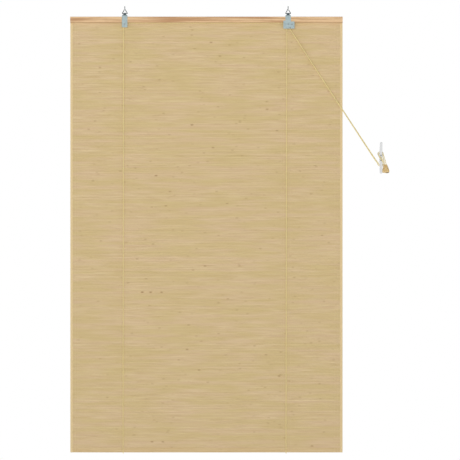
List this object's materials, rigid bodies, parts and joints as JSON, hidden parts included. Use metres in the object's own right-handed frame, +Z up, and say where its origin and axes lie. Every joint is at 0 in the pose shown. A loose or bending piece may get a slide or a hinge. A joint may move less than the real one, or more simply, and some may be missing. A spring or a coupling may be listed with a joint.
{
  "type": "bamboo roll up blind",
  "caption": "Flat woven reed blind on a two-batten head rail, hung from two wire hooks, with strap pulleys, a cord lock, pull cords and a wall cleat.",
  "frame": {"origin": "midway between the two screw hooks' shanks, in the plane where their threads enter the ceiling", "axes": "+X to the right along the head rail seen from the room, +Y towards the window, +Z up along the hook shanks"},
  "size_m": [1.1758, 0.0333, 1.6433],
  "materials": {
    "rail_wood": "planed and lacquered batten",
    "reeds": "split bamboo reeds, matt",
    "slat_wood": "planed bamboo slat",
    "tape": "woven cotton edge tape",
    "thread": "cotton warp thread",
    "cord": "laid cord",
    "galvanised": "galvanised sheet",
    "wire": "zinc plated wire",
    "rivet": "plain steel",
    "pulley_plastic": "moulded nylon",
    "cleat_plastic": "moulded, slightly glossy",
    "tassel_wood": "turned and lacquered"
  },
  "bodies": {
    "blind": {"head_rail_front": "rail_wood", "head_rail_back": "rail_wood", "reed_mat": "reeds", "bottom_slat": "slat_wood", "edge_tape_left": "tape", "edge_tape_right": "tape", "warp_threads": "thread", "rail_staples": "rivet", "hook_left": "wire", "hook_right": "wire", "strap_left": "galvanised", "lock_housing": "galvanised", "bracket_screws": "rivet", "axle_left": "rivet", "axle_lock": "rivet", "cam_pin": "rivet", "guide_pin": "rivet", "lift_cord_left": "cord", "lift_cord_right": "cord", "pull_cord_left": "cord", "pull_cord_right": "cord", "knot_left": "cord", "knot_right": "cord", "tassel_knot_left": "cord", "tassel_knot_right": "cord", "cleat": "cleat_plastic", "tassel_left": "tassel_wood", "tassel_right": "tassel_wood"},
    "left_pulley": {"pulley_left": "pulley_plastic"},
    "lock_pulley": {"pulley_lock": "pulley_plastic"},
    "cam": {"lock_cam": "rivet"}
  },
  "joints": [
    {"name": "left_pulley_spin", "type": "hinge", "parent": "blind", "child": "left_pulley", "pos_m": [-0.3, -0.0062, -0.0577], "axis": [0, 1, 0], "continuous": true},
    {"name": "lock_pulley_spin", "type": "hinge", "parent": "blind", "child": "lock_pulley", "pos_m": [0.3, -0.0062, -0.0581], "axis": [0, 1, 0], "continuous": true},
    {"name": "cam_swing", "type": "hinge", "parent": "blind", "child": "cam", "pos_m": [0.314, -0.0062, -0.0592], "axis": [0, 1, 0], "range_deg": [0, 35]}
  ],
  "couplings": [
    {"joint": "left_pulley_spin", "follows": "lock_pulley_spin", "ratio": 1.0952}
  ]
}
